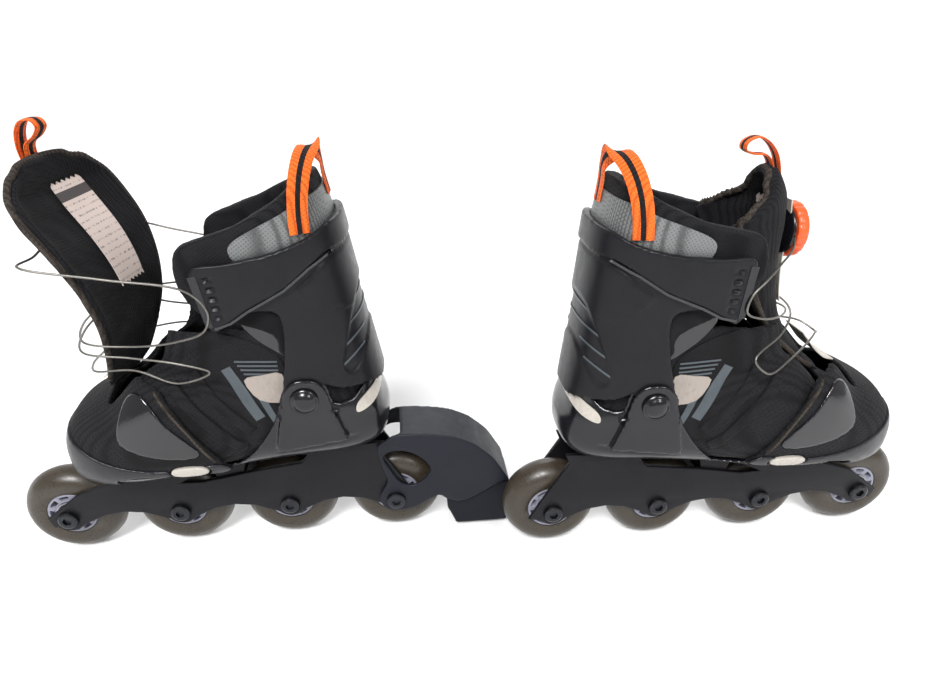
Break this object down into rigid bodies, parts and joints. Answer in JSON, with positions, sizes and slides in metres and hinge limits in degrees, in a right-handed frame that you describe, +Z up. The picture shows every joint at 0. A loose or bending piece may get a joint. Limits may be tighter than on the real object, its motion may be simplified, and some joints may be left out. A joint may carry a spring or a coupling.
{
  "type": "inline skates",
  "caption": "Pair of size-adjustable soft-boot inline skates with in-line wheels, hinged cuffs, dial-lace tongues, pull loops and a heel brake on one skate.",
  "frame": {"origin": "floor point midway between the two skates, at the centre of the pair's bounding box", "axes": "+X runs along both skates, from the left skate's toe (-X) to the right skate's toe (+X); +Y points away from the side where both outer sides face; +Z up"},
  "size_m": [0.6598, 0.1316, 0.3091],
  "materials": {
    "plastic": "satin",
    "gloss": "gloss",
    "fabric": "woven",
    "lining": "napped",
    "tyre": "translucent satin",
    "hub": "satin",
    "steel": "satin",
    "orange": "satin",
    "webbing": "woven",
    "brake": "matte",
    "pad": "matte",
    "silver": "satin"
  },
  "bodies": {
    "chassis": {"left_frame": "plastic", "left_axle_1": "steel", "left_axle_2": "steel", "left_axle_3": "steel", "left_axle_4": "steel", "left_shell": "gloss", "left_rivet_outer": "gloss", "left_rivet_inner": "gloss", "left_upper": "fabric", "left_footbed": "lining", "left_lace": "steel", "left_brake_arm": "brake", "left_brake_pad": "pad", "right_frame": "plastic", "right_axle_1": "steel", "right_axle_2": "steel", "right_axle_3": "steel", "right_axle_4": "steel", "right_shell": "gloss", "right_rivet_outer": "gloss", "right_rivet_inner": "gloss", "right_upper": "fabric", "right_footbed": "lining", "right_lace": "steel"},
    "left_wheel_1": {"left_tyre_1": "tyre", "left_hub_1": "hub"},
    "left_wheel_2": {"left_tyre_2": "tyre", "left_hub_2": "hub"},
    "left_wheel_3": {"left_tyre_3": "tyre", "left_hub_3": "hub"},
    "left_wheel_4": {"left_tyre_4": "tyre", "left_hub_4": "hub"},
    "left_cuff": {"left_cuff": "plastic", "left_collar": "lining", "left_heel_loop": "webbing"},
    "left_tongue": {"left_tongue": "fabric", "left_tongue_plate": "silver", "left_lace_plate": "silver"},
    "left_spool": {"left_dial_spool": "steel"},
    "left_knob": {"left_dial_knob": "orange"},
    "left_toe": {"left_toe_box": "gloss"},
    "left_size_button": {"left_size_button": "silver"},
    "right_wheel_1": {"right_tyre_1": "tyre", "right_hub_1": "hub"},
    "right_wheel_2": {"right_tyre_2": "tyre", "right_hub_2": "hub"},
    "right_wheel_3": {"right_tyre_3": "tyre", "right_hub_3": "hub"},
    "right_wheel_4": {"right_tyre_4": "tyre", "right_hub_4": "hub"},
    "right_cuff": {"right_cuff": "plastic", "right_collar": "lining", "right_heel_loop": "webbing"},
    "right_tongue": {"right_tongue": "fabric", "right_tongue_plate": "silver", "right_lace_plate": "silver"},
    "right_spool": {"right_dial_spool": "steel"},
    "right_knob": {"right_dial_knob": "orange"},
    "right_toe": {"right_toe_box": "gloss"},
    "right_size_button": {"right_size_button": "silver"}
  },
  "joints": [
    {"name": "left_wheel_1_spin", "type": "hinge", "parent": "chassis", "child": "left_wheel_1", "pos_m": [-0.057, 0.0154, 0.035], "axis": [0, 1, 0], "continuous": true},
    {"name": "left_wheel_2_spin", "type": "hinge", "parent": "chassis", "child": "left_wheel_2", "pos_m": [-0.136, 0.0154, 0.035], "axis": [0, 1, 0], "continuous": true},
    {"name": "left_wheel_3_spin", "type": "hinge", "parent": "chassis", "child": "left_wheel_3", "pos_m": [-0.215, 0.0154, 0.035], "axis": [0, 1, 0], "continuous": true},
    {"name": "left_wheel_4_spin", "type": "hinge", "parent": "chassis", "child": "left_wheel_4", "pos_m": [-0.294, 0.0154, 0.035], "axis": [0, 1, 0], "continuous": true},
    {"name": "left_cuff_hinge", "type": "hinge", "parent": "chassis", "child": "left_cuff", "pos_m": [-0.1095, 0.0154, 0.141], "axis": [0, -1, 0], "range_deg": [-8, 1], "deforming": ["left_lace"]},
    {"name": "left_tongue_hinge", "type": "hinge", "parent": "chassis", "child": "left_tongue", "pos_m": [-0.2335, 0.0154, 0.143], "axis": [0, -0.866, -0.5], "range_deg": [-32, 6], "deforming": ["left_lace", "left_tongue"]},
    {"name": "left_dial_turn", "type": "hinge", "parent": "left_tongue", "child": "left_spool", "pos_m": [-0.23857, 0.00961, 0.24802], "axis": [-0.848, 0.265, -0.4589], "continuous": true, "deforming": ["left_lace"]},
    {"name": "left_dial_pull", "type": "slide", "parent": "left_spool", "child": "left_knob", "axis": [-0.848, 0.265, -0.4589], "range_m": [0, 0.003], "deforming": ["left_lace"]},
    {"name": "left_toe_slide", "type": "slide", "parent": "chassis", "child": "left_toe", "axis": [-1, 0, 0], "range_m": [0, 0.024]},
    {"name": "left_size_press", "type": "slide", "parent": "left_toe", "child": "left_size_button", "axis": [0, 1, 0], "range_m": [0, 0.0012], "stiffness_N_per_m": 400, "springref_m": -0.0004},
    {"name": "right_wheel_1_spin", "type": "hinge", "parent": "chassis", "child": "right_wheel_1", "pos_m": [0.057, -0.0154, 0.035], "axis": [0, 1, 0], "continuous": true},
    {"name": "right_wheel_2_spin", "type": "hinge", "parent": "chassis", "child": "right_wheel_2", "pos_m": [0.136, -0.0154, 0.035], "axis": [0, 1, 0], "continuous": true},
    {"name": "right_wheel_3_spin", "type": "hinge", "parent": "chassis", "child": "right_wheel_3", "pos_m": [0.215, -0.0154, 0.035], "axis": [0, 1, 0], "continuous": true},
    {"name": "right_wheel_4_spin", "type": "hinge", "parent": "chassis", "child": "right_wheel_4", "pos_m": [0.294, -0.0154, 0.035], "axis": [0, 1, 0], "continuous": true},
    {"name": "right_cuff_hinge", "type": "hinge", "parent": "chassis", "child": "right_cuff", "pos_m": [0.1095, -0.0154, 0.141], "axis": [0, 1, 0], "range_deg": [-3, 6], "deforming": ["right_lace"]},
    {"name": "right_tongue_hinge", "type": "hinge", "parent": "chassis", "child": "right_tongue", "pos_m": [0.2335, -0.0154, 0.143], "axis": [0, 0.866, 0.5], "range_deg": [0, 36], "deforming": ["right_lace", "right_tongue"]},
    {"name": "right_dial_turn", "type": "hinge", "parent": "right_tongue", "child": "right_spool", "pos_m": [0.19322, -0.0154, 0.238], "axis": [1, 0, 0], "continuous": true, "deforming": ["right_lace"]},
    {"name": "right_dial_pull", "type": "slide", "parent": "right_spool", "child": "right_knob", "axis": [1, 0, 0], "range_m": [0, 0.003], "deforming": ["right_lace"]},
    {"name": "right_toe_slide", "type": "slide", "parent": "chassis", "child": "right_toe", "axis": [1, 0, 0], "range_m": [-0.018, 0.006]},
    {"name": "right_size_press", "type": "slide", "parent": "right_toe", "child": "right_size_button", "axis": [0, 1, 0], "range_m": [0, 0.0012], "stiffness_N_per_m": 400, "springref_m": -0.0004}
  ]
}
